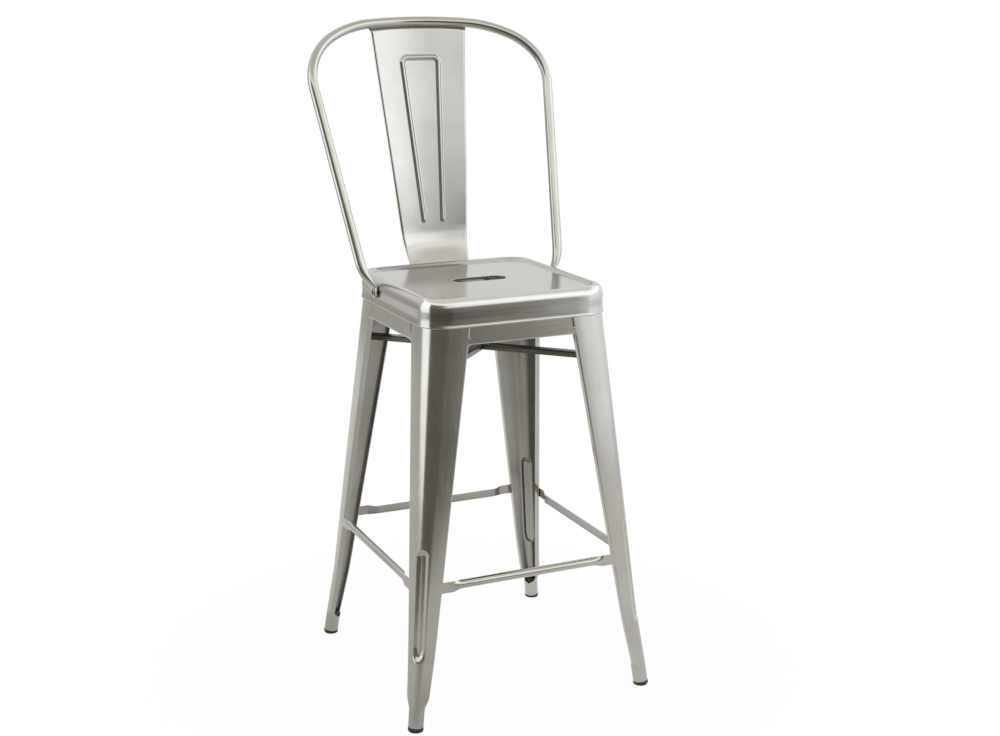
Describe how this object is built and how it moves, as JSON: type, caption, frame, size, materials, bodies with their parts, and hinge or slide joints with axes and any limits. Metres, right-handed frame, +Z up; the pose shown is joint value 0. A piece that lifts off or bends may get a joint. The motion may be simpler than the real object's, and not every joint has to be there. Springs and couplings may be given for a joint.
{
  "type": "metal stool with back",
  "caption": "Counter-height pressed sheet-steel stool with tapered splayed legs, foot rails, a dished seat with a hand slot, and a bent-tube back hoop with a sheet splat.",
  "frame": {"origin": "on the floor, under the middle of the whole stool's box", "axes": "+Z up, the stool faces -Y, +X to the right of someone who looks at its front"},
  "size_m": [0.437, 0.478, 1.0631],
  "materials": {
    "frame_steel": "brushed sheet steel under clear lacquer",
    "seat_steel": "brushed sheet steel under clear lacquer, glossier on the seat panel",
    "back_steel": "brushed tube and sheet steel under clear lacquer",
    "fastener_steel": "zinc-plated",
    "rubber": "matt black"
  },
  "bodies": {
    "root": {"back_hoop": "back_steel", "back_splat": "back_steel", "cross_brace": "frame_steel", "cross_brace_front_left": "frame_steel", "cross_brace_rear_right": "frame_steel", "front_apron": "frame_steel", "front_left_foot_pad": "rubber", "front_left_foot_tube": "frame_steel", "front_left_leg": "frame_steel", "front_right_foot_pad": "rubber", "front_right_foot_tube": "frame_steel", "front_right_leg": "frame_steel", "front_rung": "frame_steel", "hoop_bolts": "fastener_steel", "hoop_nuts": "fastener_steel", "hoop_washers": "fastener_steel", "left_apron": "frame_steel", "left_rung": "frame_steel", "rear_apron": "frame_steel", "rear_left_foot_pad": "rubber", "rear_left_foot_tube": "frame_steel", "rear_left_leg": "frame_steel", "rear_right_foot_pad": "rubber", "rear_right_foot_tube": "frame_steel", "rear_right_leg": "frame_steel", "rear_rung": "frame_steel", "right_apron": "frame_steel", "right_rung": "frame_steel", "seat_pan": "seat_steel", "splat_bolts": "fastener_steel", "splat_nuts": "fastener_steel", "splat_washers": "fastener_steel"}
  },
  "joints": []
}
